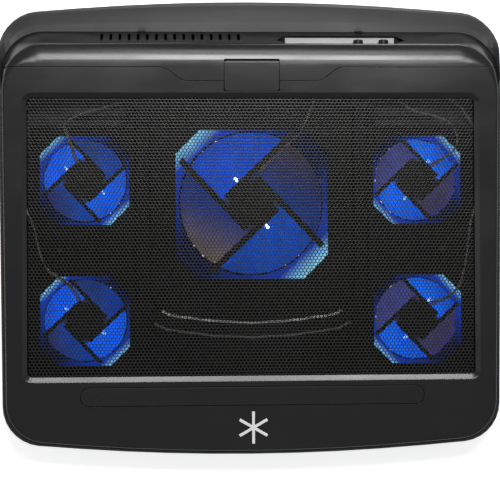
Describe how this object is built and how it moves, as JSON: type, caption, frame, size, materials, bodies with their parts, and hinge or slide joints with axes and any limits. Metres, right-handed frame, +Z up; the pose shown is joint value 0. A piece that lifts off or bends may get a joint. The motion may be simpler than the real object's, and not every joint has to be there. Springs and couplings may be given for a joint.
{
  "type": "laptop cooling pad",
  "caption": "Flat laptop cooling pad with a honeycomb grille over lit fans, a sloped rear with vents and buttons, a grip strip and fold-out legs.",
  "frame": {"origin": "centre of the pad's outline, at the level of the undersides of its rubber feet", "axes": "+X to the user's right along the longest side, +Y to the rear, +Z up"},
  "size_m": [0.3944, 0.3558, 0.033],
  "materials": {
    "tub": "fine textured",
    "lid": "satin textured",
    "deck": "matte",
    "grille": "satin black paint",
    "rubber": "cross-hatched matte",
    "badge": "white satin",
    "silver": "satin",
    "black_plastic": "semi-gloss",
    "board": "solder mask",
    "steel": "plated",
    "fan_frame": "clear, lit blue from inside",
    "fan_rotor": "tinted, lit blue",
    "stator": "enamelled copper wire",
    "lamp": "clear lens, lit",
    "lead": "flexible PVC"
  },
  "bodies": {
    "base": {"lower_shell": "tub", "fan_deck": "deck", "top_frame": "lid", "rear_housing": "lid", "mesh_grille": "grille", "grip_strip": "rubber", "badge": "badge", "control_panel": "silver", "switch_board": "board", "usb_board": "board", "usb_a_socket": "steel", "usb_mini_socket": "steel", "rear_left_fan_frame": "fan_frame", "rear_left_fan_spider": "black_plastic", "rear_left_fan_stator": "stator", "rear_left_fan_lamp_1": "lamp", "rear_left_fan_lamp_2": "lamp", "rear_left_fan_lead": "lead", "rear_right_fan_frame": "fan_frame", "rear_right_fan_spider": "black_plastic", "rear_right_fan_stator": "stator", "rear_right_fan_lamp_1": "lamp", "rear_right_fan_lamp_2": "lamp", "rear_right_fan_lead": "lead", "front_left_fan_frame": "fan_frame", "front_left_fan_spider": "black_plastic", "front_left_fan_stator": "stator", "front_left_fan_lamp_1": "lamp", "front_left_fan_lamp_2": "lamp", "front_left_fan_lead": "lead", "front_right_fan_frame": "fan_frame", "front_right_fan_spider": "black_plastic", "front_right_fan_stator": "stator", "front_right_fan_lamp_1": "lamp", "front_right_fan_lamp_2": "lamp", "front_right_fan_lead": "lead", "centre_fan_frame": "fan_frame", "centre_fan_spider": "black_plastic", "centre_fan_stator": "stator", "centre_fan_lamp_1": "lamp", "centre_fan_lamp_2": "lamp", "centre_fan_lead": "lead", "rear_left_foot": "rubber", "rear_right_foot": "rubber", "front_left_foot": "rubber", "front_right_foot": "rubber", "deck_screw_1": "steel", "deck_screw_2": "steel", "deck_screw_3": "steel", "deck_screw_4": "steel"},
    "centre_fan_rotor": {"centre_fan_rotor": "fan_rotor"},
    "fan_button": {"fan_button": "black_plastic"},
    "front_left_fan_rotor": {"front_left_fan_rotor": "fan_rotor"},
    "front_right_fan_rotor": {"front_right_fan_rotor": "fan_rotor"},
    "latch_tab": {"latch_tab": "lid"},
    "left_leg": {"left_leg": "black_plastic"},
    "light_button": {"light_button": "black_plastic"},
    "rear_left_fan_rotor": {"rear_left_fan_rotor": "fan_rotor"},
    "rear_right_fan_rotor": {"rear_right_fan_rotor": "fan_rotor"},
    "right_leg": {"right_leg": "black_plastic"}
  },
  "joints": [
    {"name": "rear_left_fan_spin", "type": "hinge", "parent": "base", "child": "rear_left_fan_rotor", "pos_m": [-0.1306, 0.0359, 0.012], "axis": [0, 0, 1], "continuous": true},
    {"name": "rear_right_fan_spin", "type": "hinge", "parent": "base", "child": "rear_right_fan_rotor", "pos_m": [0.1306, 0.0359, 0.012], "axis": [0, 0, 1], "continuous": true},
    {"name": "front_left_fan_spin", "type": "hinge", "parent": "base", "child": "front_left_fan_rotor", "pos_m": [-0.1306, -0.0738, 0.012], "axis": [0, 0, 1], "continuous": true},
    {"name": "front_right_fan_spin", "type": "hinge", "parent": "base", "child": "front_right_fan_rotor", "pos_m": [0.1306, -0.0738, 0.012], "axis": [0, 0, 1], "continuous": true},
    {"name": "centre_fan_spin", "type": "hinge", "parent": "base", "child": "centre_fan_rotor", "pos_m": [0, 0.0179, 0.012], "axis": [0, 0, 1], "continuous": true},
    {"name": "fan_button_press", "type": "slide", "parent": "base", "child": "fan_button", "axis": [0, -1, 0], "range_m": [0, 0.0014], "stiffness_N_per_m": 400, "springref_m": -0.0006},
    {"name": "light_button_press", "type": "slide", "parent": "base", "child": "light_button", "axis": [0, -1, 0], "range_m": [0, 0.0014], "stiffness_N_per_m": 400, "springref_m": -0.0006},
    {"name": "latch_tab_lift", "type": "hinge", "parent": "base", "child": "latch_tab", "pos_m": [0, 0.128, 0.03], "axis": [-1, 0, 0], "range_deg": [0, 50]},
    {"name": "left_leg_fold", "type": "hinge", "parent": "base", "child": "left_leg", "pos_m": [-0.115, 0.126, 0.0059], "axis": [1, 0, 0], "range_deg": [0, 75]},
    {"name": "right_leg_fold", "type": "hinge", "parent": "base", "child": "right_leg", "pos_m": [0.115, 0.126, 0.0059], "axis": [1, 0, 0], "range_deg": [0, 75]}
  ]
}
